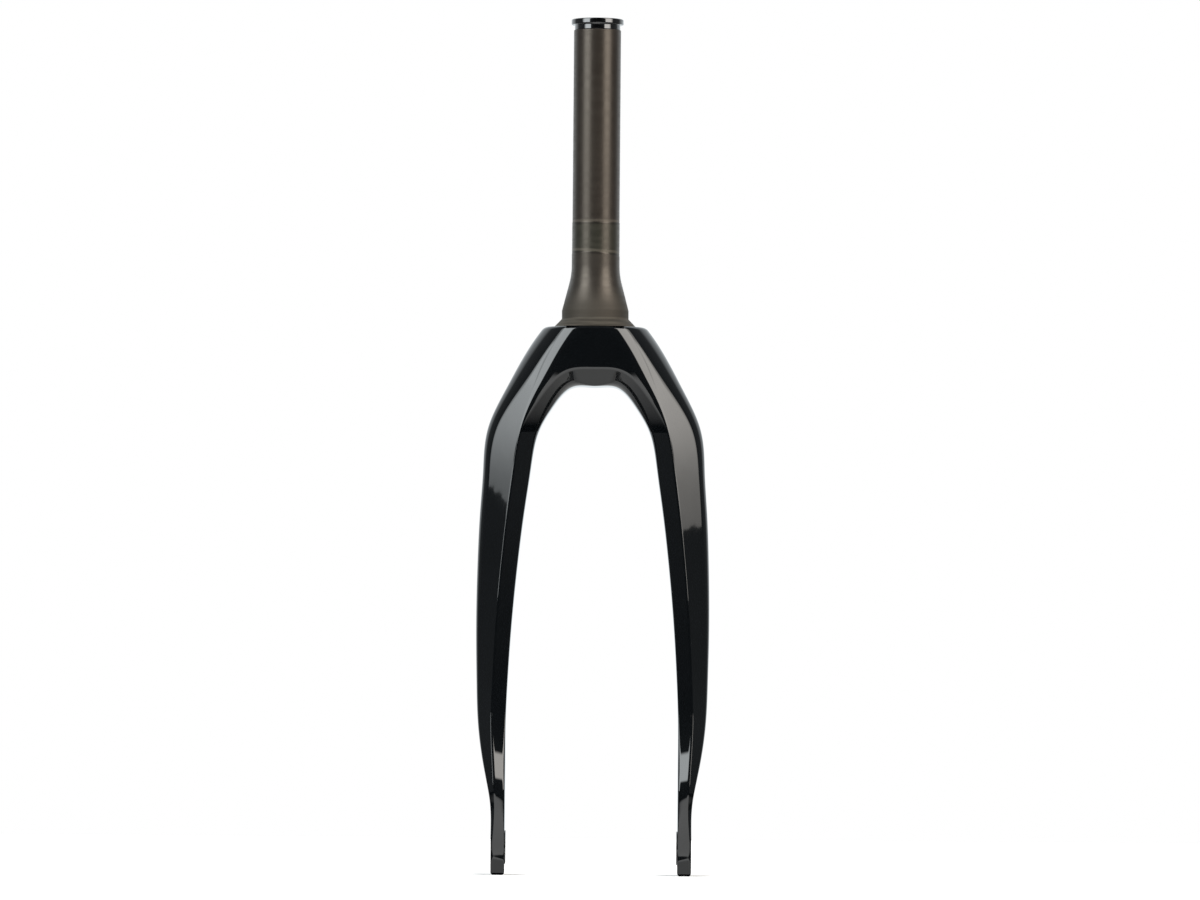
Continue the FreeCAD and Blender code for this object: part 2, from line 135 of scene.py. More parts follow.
# %% Sections of the crown and leg
COLUMNS = ("height", "inner", "tilt", "width", "ridge", "flat", "edge", "front", "rear", "chamfer", "bevel",
           "round", "brow", "lip")
CROWN_DEPTH = 26.9
PLATE_INNER = 51.1
SECTIONS = {
    "crown": (-40.5, 0, 90, 55, 10.1, 30.4, 2.5, CROWN_DEPTH, CROWN_DEPTH, 10, 8.4, 19.7, 19.7, 1.5),
    "shoulder": (-41, 13, 66, 40.5, 9.5, 13.28, 2.5, CROWN_DEPTH, CROWN_DEPTH, 9.5, 10.23, 24.1, 24.1, 13),
    "bend": (-54, 25.5, 27, 29.7, 9.2, 3.4, 2.5, 24.5, 23, 8.5, 9.9, 17.5, 8, 11),
    "knee": (-69, 33.5, 7.7, 30, 9.7, 1, 1.2, 23.4, 21, 7.6, 11.7, 12, 1.2, 6),
    "leg_top": (-91, 37.7, 0, 28.4, 9.5, 1, 1.2, 23.8, 17.5, 6.9, 11.6, 8.5, 0.6, 3),
    "leg_low": (-240, PLATE_INNER, 0, 16.6, 7.6, 1.2, 1.2, 32, -7.2, 0.8, 7.2, 3.6, 0.5, 0.7),
    "leg_end": (-267.5, PLATE_INNER, 0, 12.6, 6.5, 1, 3.8, 40.9, -11.9, 2.3, 4.1, 2.1, 0.5, 2.1),
    "lug_top": (-279, PLATE_INNER, 0, 10.2, 5.9, 0.9, 2.8, 43.8, -13.6, 1.45, 2.9, 1.5, 0.5, 1.5),
    "plate_top": (-288, PLATE_INNER, 0, 8.7, 5.4, 0.8, 2, 43.8, -15, 0.9, 2, 1, 0.5, 1),
    "lug": (-309.5, PLATE_INNER, 0, 8.2, 5.8, 1.2, 1.2, 43.3, -17, 0.5, 1.2, 0.7, 1, 0.7),
    "lug_waist": (-315.5, PLATE_INNER, 0, 8.2, 5.8, 1.2, 1.2, 43.12, -17, 0.5, 1.2, 0.7, 1, 0.7),
    "lug_foot": (-331, PLATE_INNER, 0, 8.2, 5.8, 1.2, 1.2, 43.6, -17, 0.5, 1.2, 0.7, 1, 0.7),
    "lug_end": (-352.5, PLATE_INNER, 0, 8.2, 5.8, 1.2, 1.2, 44, -17, 0.5, 1.2, 0.7, 1, 0.7),
}
LEG_STEPS = 6
LEG_BOW = 2.3

rows = []
row_names = []
for name, numbers in SECTIONS.items():
    if name == "leg_low":
        top = rows[-1]
        for step in range(1, LEG_STEPS):
            between = top + (np.array(numbers) - top) * step / LEG_STEPS
            hump = 4 * step * (LEG_STEPS - step) / LEG_STEPS ** 2
            between[COLUMNS.index("inner")] += LEG_BOW * hump
            rows.append(between)
            row_names.append(f"leg_{step}")
    rows.append(np.array(numbers, float))
    row_names.append(name)
print(f"{len(rows)} cross-sections from the middle of the crown to the tip")

# %% [markdown]
# One function draws a section as a ring of points: an arc at each corner, and points along each side that
# crowd towards its ends, so that the flats stay flat in the gloss and only the corners turn.

# %% Points round one section
ARC_STEPS = (10, 8, 16, 20, 20, 16, 8, 10)
SIDE_STEPS = (6, 8, 8, 8, 8, 8, 6, 8)
CORNER_RADII = ("lip", "edge", "brow", "round", "round", "brow", "edge", "lip")


def section_ring(numbers):
    row = dict(zip(COLUMNS, numbers))
    shelf = row["ridge"] + row["flat"]
    corners = np.array([
        (0, row["chamfer"] - row["front"]), (row["ridge"], -row["front"]), (shelf, -row["front"]),
        (row["width"], row["bevel"] - row["front"]), (row["width"], row["rear"] - row["bevel"]),
        (shelf, row["rear"]), (row["ridge"], row["rear"]), (0, row["rear"] - row["chamfer"])])
    arcs = []
    for i, corner in enumerate(corners):
        radius = row[CORNER_RADII[i]]
        back = corners[i - 1] - corner
        ahead = corners[(i + 1) % len(corners)] - corner
        back /= np.linalg.norm(back)
        ahead /= np.linalg.norm(ahead)
        turn = math.pi - math.acos(np.clip(back @ ahead, -1, 1))
        trim = radius * math.tan(turn / 2)
        arrive = corner + back * trim
        middle = (back + ahead) / np.linalg.norm(back + ahead)
        centre = corner + middle * math.hypot(trim, radius)
        angles = turn * np.arange(ARC_STEPS[i] + 1) / ARC_STEPS[i]
        spoke = arrive - centre
        arcs.append(np.array([centre + (spoke[0] * math.cos(a) - spoke[1] * math.sin(a),
                                        spoke[0] * math.sin(a) + spoke[1] * math.cos(a)) for a in angles]))
    flat_ring = []
    for i, arc in enumerate(arcs):
        start, end = arc[-1], arcs[(i + 1) % len(arcs)][0]
        shares = (1 - np.cos(np.pi * np.arange(1, SIDE_STEPS[i]) / SIDE_STEPS[i])) / 2
        flat_ring += [*arc, *(start + (end - start) * share for share in shares)]
    flat_ring = np.array(flat_ring)
    tilt = math.radians(row["tilt"])
    return np.stack([row["inner"] + flat_ring[:, 0] * math.cos(tilt), flat_ring[:, 1],
                     row["height"] + flat_ring[:, 0] * math.sin(tilt)], axis=1)


right_rings = np.array([section_ring(numbers) for numbers in rows])
MIRROR = np.array([-1, 1, 1])
stations = np.concatenate([right_rings[:0:-1] * MIRROR, right_rings])
print(f"{stations.shape[1]} points round each section")

# %% [markdown]
# A smooth curve runs through each point of the rings from the left tip to the right one, as the mould's
# skin does. It is a natural cubic spline, so the skin bends evenly and the studio light slides along it
# without kinks.

# %% Skin through the sections
steps_along = np.linalg.norm(np.diff(stations, axis=0), axis=2).mean(axis=1)
along = np.concatenate([[0], np.cumsum(steps_along)])
count = len(along)
system = np.zeros((count, count))
system[0, 0] = system[-1, -1] = 1
curve = np.zeros((count, *stations.shape[1:]))
slopes = np.diff(stations, axis=0) / steps_along[:, None, None]
for k in range(1, count - 1):
    system[k, k - 1:k + 2] = (steps_along[k - 1], 2 * (steps_along[k - 1] + steps_along[k]), steps_along[k])
    curve[k] = 6 * (slopes[k] - slopes[k - 1])
bending = np.linalg.solve(system, curve.reshape(count, -1)).reshape(curve.shape)


def skin(place):
    k = min(int(np.searchsorted(along, place, side="right")) - 1, count - 2)
    gap = steps_along[k]
    left, right = along[k + 1] - place, place - along[k]
    return ((bending[k] * left ** 3 + bending[k + 1] * right ** 3) / (6 * gap)
            + (stations[k] / gap - bending[k] * gap / 6) * left
            + (stations[k + 1] / gap - bending[k + 1] * gap / 6) * right)


print(f"skin runs {along[-1]:.0f} mm from tip to tip")

# %% [markdown]
# The skin is read off in rings: close together round the crown, wider apart down the leg. In the dropout
# they are set by height instead, closest at the foot, where its slanted front and its rounded edge are.

# %% Rings along the skin
TIP_LEVEL = -330.7
FOOT_ROUND = 1.8
PLATE_START, FACET_START = -310.5, -318.25
PLATE_STEP, FACET_STEP = 1, 0.25
FOOT_RINGS = 11
RINGS_BETWEEN = [18] * 4 + [9] * 6 + [14] * 2 + [8] * 2
LOOKUP_POINTS = 400

middle_index = count // 2
lug_index = middle_index + row_names.index("lug")
places = [along[middle_index]]
for k, steps in enumerate(RINGS_BETWEEN, start=middle_index):
    places += [along[k] + steps_along[k] * (i + 1) / steps for i in range(steps)]
fine = np.linspace(along[lug_index], along[-1], LOOKUP_POINTS)
fine_heights = np.array([skin(place)[0, 2] for place in fine])
lug_heights = np.concatenate([
    np.arange(PLATE_START, FACET_START, -PLATE_STEP),
    np.arange(FACET_START, TIP_LEVEL + FOOT_ROUND, -FACET_STEP),
    TIP_LEVEL + FOOT_ROUND * (1 - np.sin(np.linspace(0, math.pi / 2, FOOT_RINGS)))])
places += list(np.interp(-lug_heights, -fine_heights, fine))
half = np.array([skin(place) for place in places])
print(f"{len(half)} rings on each side of the middle")

# %% [markdown]
# A cutter trims the dropout's foot on the slant at the front and the back, and its edges are rounded by
# hand. Here each ring point that lies past the slant is held back to it, with a soft blend at the corner,
# and the last rings are drawn in along a quarter circle.

# %% Trim the tips
TIP_FRONT, TIP_REAR = -39.6, -22
TIP_SLOPE = math.radians(22)
TIP_EDGE = 1.6
TIP_ZONE = -299
SOFT = 0.25


def held_back(gap):
    return (gap + np.sqrt(gap ** 2 + SOFT ** 2)) / 2


rise = np.clip(half[:, :, 2] - TIP_LEVEL, 0, None)
trim = TIP_EDGE * math.tan((math.pi / 2 - TIP_SLOPE) / 2)
corner_rise = TIP_EDGE * (1 - math.sin(TIP_SLOPE))
in_corner = TIP_EDGE - np.sqrt(np.clip(TIP_EDGE ** 2 - (TIP_EDGE - rise) ** 2, 0, None))
reach = np.where(rise > corner_rise, rise * math.tan(TIP_SLOPE), in_corner - trim)
tip_zone = half[:, :, 2] < TIP_ZONE
front_limit, rear_limit = TIP_FRONT - reach, TIP_REAR + reach
depth = half[:, :, 1]
depth = np.where(tip_zone, front_limit + held_back(depth - front_limit), depth)
depth = np.where(tip_zone, rear_limit - held_back(rear_limit - depth), depth)
half[:, :, 1] = depth
plate_middle = PLATE_INNER + SECTIONS["lug"][COLUMNS.index("width")] / 2
near_foot = np.clip(TIP_EDGE - rise, 0, None)
draw_in = TIP_EDGE - np.sqrt(TIP_EDGE ** 2 - near_foot ** 2)
half[:, :, 0] -= (half[:, :, 0] - plate_middle) * draw_in / (plate_middle - PLATE_INNER)
print(f"tip foot from y {depth[-1].min():.1f} to {depth[-1].max():.1f} mm")

# %% [markdown]
# The two legs mirror each other, so the rings of the left one are those of the right one, turned over.
# Four points of neighbouring rings make a face, and the last rings are closed.

# %% Mesh of the crown and legs
rings = np.concatenate([half[:0:-1] * MIRROR, half])
body = bmesh.new()
verts = [[body.verts.new(point * MM) for point in ring] for ring in rings]
for first, second in zip(verts, verts[1:]):
    for j in range(len(first)):
        body.faces.new((first[j], first[j - 1], second[j - 1], second[j]))
body.faces.new(verts[0])
body.faces.new(verts[-1][::-1])
bmesh.ops.recalc_face_normals(body, faces=body.faces)
print(f"skin of {len(body.faces)} faces")

# %% [markdown]
# The crown's top is cut level for the bearing race, and the lacquer leaves a small round on its rim. We
# slice the skin at a few heights under the cut and draw each slice in along a quarter circle. A socket in
# the middle takes the steerer's root.

# %% Level crown top with a rounded rim
CROWN_TOP = -5
CROWN_EDGE = 1.8
RIM_DEGREES = (0, 10, 20, 32, 45, 60, 75)
SOCKET_RADIUS, SOCKET_FLOOR = 18.1, -23.1
SOCKET_POINTS = 96
WELD = 1e-7


def slice_level(mesh, level, cut_off=False):
    geometry = mesh.verts[:] + mesh.edges[:] + mesh.faces[:]
    bmesh.ops.bisect_plane(mesh, geom=geometry, plane_co=(0, 0, level * MM), plane_no=(0, 0, 1), dist=WELD,
                           clear_outer=cut_off)


slice_level(body, CROWN_TOP, cut_off=True)
for degrees in RIM_DEGREES:
    slice_level(body, CROWN_TOP - CROWN_EDGE * (1 - math.sin(math.radians(degrees))))
body.normal_update()
moves = {}
for vert in body.verts:
    below = CROWN_TOP - vert.co.z / MM
    if below < CROWN_EDGE:
        inwards = -Vector((vert.normal.x, vert.normal.y, 0)).normalized()
        draw_in = CROWN_EDGE - math.sqrt(CROWN_EDGE ** 2 - (CROWN_EDGE - max(below, 0)) ** 2)
        moves[vert] = inwards * draw_in * MM
for vert, move in moves.items():
    vert.co += move
rim = [edge for edge in body.edges if edge.is_boundary]
mouth = []
for i in range(SOCKET_POINTS):
    angle = 2 * math.pi * i / SOCKET_POINTS
    mouth.append(body.verts.new((SOCKET_RADIUS * math.cos(angle) * MM, SOCKET_RADIUS * math.sin(angle) * MM,
                                 CROWN_TOP * MM)))
mouth_edges = [body.edges.new((mouth[i - 1], mouth[i])) for i in range(SOCKET_POINTS)]
bmesh.ops.triangle_fill(body, edges=rim + mouth_edges, use_beauty=True)
base = [body.verts.new((vert.co.x, vert.co.y, SOCKET_FLOOR * MM)) for vert in mouth]
for i in range(SOCKET_POINTS):
    body.faces.new((mouth[i - 1], mouth[i], base[i], base[i - 1]))
body.faces.new(base)
bmesh.ops.recalc_face_normals(body, faces=body.faces)
print(f"crown rim of {len(rim)} edges, {len([e for e in body.edges if not e.is_manifold])} open edges left")

# %% [markdown]
# Three helpers make solid pieces: one puts a finished mesh into the scene, one draws an outline out into
# a prism, and one joins such a prism to a piece or cuts it out. A fourth shades a piece smooth and keeps
# its sharp edges as creases.

# %% Helpers for solid pieces
CREASE = math.radians(40)


def link_mesh(name, mesh):
    data = bpy.data.meshes.new(name)
    mesh.to_mesh(data)
    mesh.free()
    piece = bpy.data.objects.new(name, data)
    scene.collection.objects.link(piece)
    return piece


def prism(name, outline, low, high):
    mesh = bmesh.new()
    ends = [[mesh.verts.new((x * MM, y * MM, z * MM)) for y, z in outline] for x in sorted((low, high))]
    mesh.faces.new(ends[0])
    mesh.faces.new(ends[1])
    for i in range(len(outline)):
        mesh.faces.new((ends[0][i - 1], ends[0][i], ends[1][i], ends[1][i - 1]))
    bmesh.ops.recalc_face_normals(mesh, faces=mesh.faces)
    return link_mesh(name, mesh)


def combine(piece, tool, operation):
    step = piece.modifiers.new("combine", "BOOLEAN")
    step.operation = operation
    step.solver = "EXACT"
    step.object = tool
    bpy.context.view_layer.objects.active = piece
    bpy.ops.object.modifier_apply(modifier=step.name)
    bpy.data.objects.remove(tool)


def smooth_shading(piece):
    mesh = bmesh.new()
    mesh.from_mesh(piece.data)
    for face in mesh.faces:
        face.smooth = True
    for edge in mesh.edges:
        edge.smooth = edge.calc_face_angle(0) < CREASE
    mesh.to_mesh(piece.data)
    mesh.free()


print(f"edges sharper than {math.degrees(CREASE):.0f} degrees stay creases")

# %% [markdown]
# The dropouts carry a low round seat for the hub on the inside, and a slot for the axle that opens
# downwards. Seats are joined on and slots cut out with solid copies, as a mill would cut them in the
# cured part. The sharp edges they make stay creases.

# %% Hub seats and axle slots
AXLE_Y, AXLE_Z = -32, -315
HUB_HALF, HUB_SEAT_RADIUS, SLOT_RADIUS = 50.5, 10.5, 5.1
SEAT_ROOT = 4
SLOT_INSIDE, SLOT_OUTSIDE, SLOT_BELOW = 5, 20, 10
ROUND_POINTS = 96


def round_axle(radius, points):
    angles = [2 * math.pi * i / ROUND_POINTS for i in range(points)]
    return [(AXLE_Y + radius * math.cos(a), AXLE_Z + radius * math.sin(a)) for a in angles]


crown_and_legs = link_mesh("crown_and_legs", body)
seat = round_axle(HUB_SEAT_RADIUS, ROUND_POINTS)
slot = round_axle(SLOT_RADIUS, ROUND_POINTS // 2 + 1)
slot += [(AXLE_Y - SLOT_RADIUS, TIP_LEVEL - SLOT_BELOW), (AXLE_Y + SLOT_RADIUS, TIP_LEVEL - SLOT_BELOW)]
for side in (-1, 1):
    hub_seat = prism("hub_seat", seat, side * HUB_HALF, side * (PLATE_INNER + SEAT_ROOT))
    combine(crown_and_legs, hub_seat, "UNION")
    axle_slot = prism("axle_slot", slot, side * (HUB_HALF - SLOT_INSIDE), side * (HUB_HALF + SLOT_OUTSIDE))
    combine(crown_and_legs, axle_slot, "DIFFERENCE")
smooth_shading(crown_and_legs)
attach(crown_and_legs, "root")
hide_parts("fork_body")
print(f"crown and legs: {sum(len(p.vertices) - 2 for p in crown_and_legs.data.polygons)} triangles")

# %% [markdown]
# The steerer and its cap are round, so both are turned: a closed outline of radius and height goes once
# round the axis. One helper makes the piece, one rounds a corner of the outline, and one adds points near
# the ends of straight runs, which keeps short walls flat under smooth shading.

# %% Turned pieces
SEGMENTS = 192


def turned(name, profile, wave=None):
    """A piece from a (radius, height) outline; wave gives the radius at an angle, where it isn't even."""
    mesh = bmesh.new()
    loops = []
    for radius, height in profile:
        if radius == 0:
            loops.append([mesh.verts.new((0, 0, height * MM))])
            continue
        loop = []
        for i in range(SEGMENTS):
            angle = 2 * math.pi * i / SEGMENTS
            at = wave(angle, radius, height) if wave else radius
            loop.append(mesh.verts.new((at * math.cos(angle) * MM, at * math.sin(angle) * MM, height * MM)))
        loops.append(loop)
    pairs = list(zip(loops, loops[1:]))
    if profile[0][0]:
        pairs.append((loops[-1], loops[0]))
    for first, second in pairs:
        for i in range(SEGMENTS):
            quad = [first[i % len(first)], first[(i + 1) % len(first)], second[(i + 1) % len(second)],
                    second[i % len(second)]]
            mesh.faces.new(list(dict.fromkeys(quad)))
    bmesh.ops.recalc_face_normals(mesh, faces=mesh.faces)
    return link_mesh(name, mesh)


def with_flat_walls(profile, hold=0.12):
    """A copy of the outline with extra points near the ends of each long straight run."""
    points = []
    for start, end in zip(profile, profile[1:] + profile[:1]):
        points.append(start)
        run = math.dist(start, end)
        if run > 5 * hold and 0 not in (start[0], end[0]):
            for share in (hold / run, 1 - hold / run):
                points.append(tuple(a + (b - a) * share for a, b in zip(start, end)))
    return points


def rounded(before, corner, after, radius, steps=6):
    """Points of an arc that rounds one corner of an outline."""
    before, corner, after = (np.array(point, float) for point in (before, corner, after))
    back = (before - corner) / np.linalg.norm(before - corner)
    ahead = (after - corner) / np.linalg.norm(after - corner)
    turn = math.pi - math.acos(np.clip(back @ ahead, -1, 1))
    middle = (back + ahead) / np.linalg.norm(back + ahead)
    centre = corner + middle * radius / math.cos(turn / 2)
    start = corner + back * radius * math.tan(turn / 2) - centre
    sign = 1 if back[0] * ahead[1] - back[1] * ahead[0] < 0 else -1
    points = []
    for i in range(steps + 1):
        angle = sign * turn * i / steps
        points.append(tuple(centre + (start[0] * math.cos(angle) - start[1] * math.sin(angle),
                                      start[0] * math.sin(angle) + start[1] * math.cos(angle))))
    return points


print(f"turned pieces have {SEGMENTS} sides")

# %% [markdown]
# The steerer is a tube rolled from sheets of fibre, with a taper and a bearing seat at its foot and a
# root that is bonded into the crown. Where a sheet ends, the tube steps in by about a tenth of a
# millimetre, and the cut is never quite even, so the step wanders a little round the tube.

# %% Steerer
TUBE_RADIUS, BEARING_RADIUS, RACE_RADIUS, ROOT_RADIUS, BORE_RADIUS = 14.3, 19.9, 24.75, 18, 11.7
ROOT_FLOOR, BORE_FLOOR, BEARING_TOP, TAPER_TOP, TUBE_END = -23, -12, 5, 26.6, 173
RACE_FOOT = (RACE_RADIUS, CROWN_TOP)
BEARING_FOOT = (BEARING_RADIUS, 0)
BEARING_HEAD = (BEARING_RADIUS, BEARING_TOP)
TAPER_HEAD = (TUBE_RADIUS, TAPER_TOP)
TUBE_HEAD = (TUBE_RADIUS, TUBE_END)
RACE_EDGE, BEARING_FILLET, BEARING_EDGE, TUBE_EDGE, BORE_FILLET = 0.3, 0.6, 1.5, 0.5, 6
TAPER_BLEND = 43
BORE_STEP = 60
TOP_MARGIN, TOP_GAP = 1, 1.2
PLAIN_STEP, FINE_STEP = 2, 0.25
LAP, LAP_BLEND = 0.12, 0.4
LAPS_FROM, LAPS_TO = 30, 62
SHEET_END, TUBE_SHEET_END = 38.2, 57.6


def smooth_step(low, high, value):
    share = min(max((value - low) / (high - low), 0), 1)
    return share * share * (3 - 2 * share)


def ply_laps(angle, radius, height):
    if height < LAPS_FROM - PLAIN_STEP or radius < BORE_RADIUS + 1:
        return radius
    # The cut of each sheet wanders by up to a millimetre or two round the tube
    upper = TUBE_SHEET_END + 0.25 * math.sin(angle * 2 + 0.6)
    lower = SHEET_END + 1.4 * math.sin(angle + 3.75) + 0.5 * math.sin(angle * 3)
    steps_in = sum(smooth_step(-LAP_BLEND, LAP_BLEND, height - end) for end in (lower, upper))
    return radius - LAP * steps_in


profile = [(0, ROOT_FLOOR), (ROOT_RADIUS, ROOT_FLOOR), (ROOT_RADIUS, CROWN_TOP)]
profile += rounded((ROOT_RADIUS, CROWN_TOP), RACE_FOOT, BEARING_FOOT, RACE_EDGE)
profile += rounded(RACE_FOOT, BEARING_FOOT, BEARING_HEAD, BEARING_FILLET)
profile += rounded(BEARING_FOOT, BEARING_HEAD, TAPER_HEAD, BEARING_EDGE)
profile += rounded(BEARING_HEAD, TAPER_HEAD, TUBE_HEAD, TAPER_BLEND, steps=16)
height = profile[-1][1]
while height < TUBE_END - TOP_GAP:
    height += FINE_STEP if LAPS_FROM < height < LAPS_TO else PLAIN_STEP
    profile.append((TUBE_RADIUS, min(height, TUBE_END - TOP_MARGIN)))
profile += rounded(TAPER_HEAD, TUBE_HEAD, (BORE_RADIUS, TUBE_END), TUBE_EDGE)
profile += [(BORE_RADIUS, TUBE_END), (BORE_RADIUS, BORE_STEP)]
profile += rounded((BORE_RADIUS, BORE_STEP), (BORE_RADIUS, BORE_FLOOR), (0, BORE_FLOOR), BORE_FILLET)
profile.append((0, BORE_FLOOR))
steerer = turned("steerer_tube", profile, ply_laps)
smooth_shading(steerer)
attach(steerer, "root")
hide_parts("steerer")
print(f"steerer turned from an outline of {len(profile)} points")

# %% [markdown]
# The cap closes the tube and takes the bolt of the plug inside it. It is a small lathe part: a spigot
# that drops into the bore, a neck on the tube's end, a wider flange on top, and a recess for the bolt's
# head. Its edges are broken with small rounds, which catch the light as fine lines.

# %% Cap of the compression plug
BOLT_HOLE, SPIGOT, NECK, FLANGE, RECESS = 3.2, 11.6, 13.6, 15.6, 5.3
SPIGOT_FOOT, FLANGE_FOOT, CAP_TOP = 166, 176, 179.4
NECK_EDGE, NECK_FILLET, FLANGE_EDGE, RECESS_EDGE = 0.2, 0.3, 0.7, 0.25
SPIGOT_HEAD = (SPIGOT, TUBE_END)
NECK_FOOT, NECK_HEAD = (NECK, TUBE_END), (NECK, FLANGE_FOOT)
FLANGE_LOW, FLANGE_HIGH = (FLANGE, FLANGE_FOOT), (FLANGE, CAP_TOP)
RECESS_RIM, RECESS_FLOOR = (RECESS, CAP_TOP), (RECESS, TUBE_END)

profile = [(BOLT_HOLE, SPIGOT_FOOT), (SPIGOT, SPIGOT_FOOT), SPIGOT_HEAD]
profile += rounded(SPIGOT_HEAD, NECK_FOOT, NECK_HEAD, NECK_EDGE)
profile += rounded(NECK_FOOT, NECK_HEAD, FLANGE_LOW, NECK_FILLET)
profile += rounded(NECK_HEAD, FLANGE_LOW, FLANGE_HIGH, FLANGE_EDGE)
profile += rounded(FLANGE_LOW, FLANGE_HIGH, RECESS_RIM, FLANGE_EDGE)
profile += rounded(FLANGE_HIGH, RECESS_RIM, RECESS_FLOOR, RECESS_EDGE)
profile += [RECESS_FLOOR, (BOLT_HOLE, TUBE_END)]
cap = turned("steerer_cap", with_flat_walls(profile))
smooth_shading(cap)
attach(cap, "root")
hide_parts("plug_cap")
print(f"cap turned from an outline of {len(profile)} points")

# %% [markdown]
# The fork stands on white paper that sweeps up behind it. The world is that paper: white towards the
# back, and a dark room towards the camera, which is what the gloss shows on its front. The camera sees it
# white, and glossy and transmitted rays see paper and room. Other rays get a dim room, so that the
# background adds next to no light to the object.

# %% White background
ROOM = ((0.0, 0.03), (0.5, 0.2), (0.69, 0.22), (0.78, 1.0))
ROOM_TINT = (0.91, 0.97, 1.0)
ROOM_LIGHT = 0.05
WHITE = (1, 1, 1, 1)
COLOUR_MIX = {"data_type": "RGBA"}


def seen_by_eye(tree):
    """Whether a ray is the camera's own, and whether it is that or a mirrored or refracted one."""
    path = add_node(tree, "ShaderNodeLightPath")
    direct = path.outputs["Is Camera Ray"]
    seen = direct
    for ray in ("Is Glossy Ray", "Is Transmission Ray"):
        either = add_node(tree, "ShaderNodeMath", {"operation": "MAXIMUM"}, {0: seen, 1: path.outputs[ray]})
        seen = either.outputs[0]
    return direct, seen


world = bpy.data.worlds.new("studio")
scene.world = world
world.use_nodes = True
tree = world.node_tree
tree.nodes.clear()
direct, seen = seen_by_eye(tree)
direction = add_node(tree, "ShaderNodeTexCoord")
axes = add_node(tree, "ShaderNodeSeparateXYZ", Vector=direction.outputs["Generated"])
backwards = add_node(tree, "ShaderNodeMapRange", Value=axes.outputs["Y"], From_Min=-1.0, From_Max=1.0)
ramp = add_node(tree, "ShaderNodeValToRGB", Fac=backwards.outputs["Result"])
stops = ramp.color_ramp.elements
while len(stops) < len(ROOM):
    stops.new(0.5)
for stop, (position, brightness) in zip(stops, ROOM):
    stop.position = position
    stop.color = (*(brightness * tint for tint in ROOM_TINT), 1)
seen_colour = add_node(tree, "ShaderNodeMix", COLOUR_MIX,
                       {0: direct, 6: ramp.outputs["Color"], 7: WHITE})
paper = add_node(tree, "ShaderNodeBackground", Color=seen_colour.outputs[2], Strength=1.0)
room = add_node(tree, "ShaderNodeBackground", Color=WHITE, Strength=ROOM_LIGHT)
studio = add_node(tree, "ShaderNodeMixShader", None, {0: seen, 1: room.outputs[0], 2: paper.outputs[0]})
add_node(tree, "ShaderNodeOutputWorld", Surface=studio.outputs[0])
print("white paper behind, dark room in front")

# %% [markdown]
# The floor is one flat sheet at the height of the tips. It reaches nearly to the camera, because the
# upright fronts of the dropouts mirror the floor far in front of them.

# %% Floor
FLOOR_FRONT, FLOOR_BACK, FLOOR_SIDE = -4.0, 0.7, 0.8
floor_level = cad_box[0].z
floor_mesh = bmesh.new()
floor_corners = ((-FLOOR_SIDE, FLOOR_FRONT), (FLOOR_SIDE, FLOOR_FRONT), (FLOOR_SIDE, FLOOR_BACK),
                 (-FLOOR_SIDE, FLOOR_BACK))
floor_mesh.faces.new([floor_mesh.verts.new((x, y, floor_level)) for x, y in floor_corners])
floor = link_mesh("floor", floor_mesh)
print(f"floor under the tips, {-floor_level / MM:.1f} mm below the race seat")

# %% [markdown]
# In the mirror of the gloss the paper is a strip: brightest in front of the fork, and dimmer far away and
# to the sides. For the camera it glows just enough to burn out to white. Close to the tips it hardly
# glows, so the lamps light it there and the fork's shadow stays. Where the lamps alone don't make it
# white, the missing glow also leaves a small patch of painted shade round each tip. The grain is drawn
# at 4 mm, since real paper's would vanish.

# %% White paper
MIRROR_GLOW = 0.3
FRONT_GAIN = 3.3
FAR_SHARE = 0.25
TIP_PLACE = (0.0553, -0.031, 0)
GLOW_AT_TIP, GLOW_AWAY = 0.15, 0.95
SIDE_FADE, FRONT_RISE, FAR_FADE, TIP_FADE = (0.12, 0.6), (-0.06, -0.2), (-0.8, -3.5), (0.01, 0.032)
EASED = {"interpolation_type": "SMOOTHSTEP"}

material, tree = new_material("white_paper")
direct, seen = seen_by_eye(tree)
place = add_node(tree, "ShaderNodeNewGeometry")
axes = add_node(tree, "ShaderNodeSeparateXYZ", Vector=place.outputs["Position"])
sideways = add_node(tree, "ShaderNodeMath", {"operation": "ABSOLUTE"}, {0: axes.outputs["X"]})
side_fade = add_node(tree, "ShaderNodeMapRange", EASED, Value=sideways.outputs[0],
                     From_Min=SIDE_FADE[0], From_Max=SIDE_FADE[1], To_Min=1.0, To_Max=0.0)
front_light = add_node(tree, "ShaderNodeMapRange", EASED, Value=axes.outputs["Y"],
                       From_Min=FRONT_RISE[0], From_Max=FRONT_RISE[1], To_Min=1.0, To_Max=FRONT_GAIN)
far_fade = add_node(tree, "ShaderNodeMapRange", EASED, Value=axes.outputs["Y"],
                    From_Min=FAR_FADE[0], From_Max=FAR_FADE[1], To_Min=1.0, To_Max=FAR_SHARE)
mirrored = MIRROR_GLOW
for fade in (side_fade, front_light, far_fade):
    mirrored = add_node(tree, "ShaderNodeMath", {"operation": "MULTIPLY"},
                        {0: fade.outputs[0], 1: mirrored}).outputs[0]
folded = add_node(tree, "ShaderNodeCombineXYZ", X=sideways.outputs[0], Y=axes.outputs["Y"])
from_tip = add_node(tree, "ShaderNodeVectorMath", {"operation": "DISTANCE"},
                    {0: folded.outputs[0], 1: TIP_PLACE})
# Painted shade: the camera's glow drops in a small patch round each tip, on top of the lamps' real shadow
# there
photographed = add_node(tree, "ShaderNodeMapRange", EASED, Value=from_tip.outputs["Value"],
                        From_Min=TIP_FADE[0], From_Max=TIP_FADE[1], To_Min=GLOW_AT_TIP, To_Max=GLOW_AWAY)
level = add_node(tree, "ShaderNodeMix", {"data_type": "FLOAT"},
                 {0: direct, 2: mirrored, 3: photographed.outputs[0]})
glow = add_node(tree, "ShaderNodeMath", {"operation": "MULTIPLY"}, {0: seen, 1: level.outputs[0]})
grain = add_node(tree, "ShaderNodeTexNoise", Vector=place.outputs["Position"], Scale=1 / (4 * MM),
                 Detail=3.0)
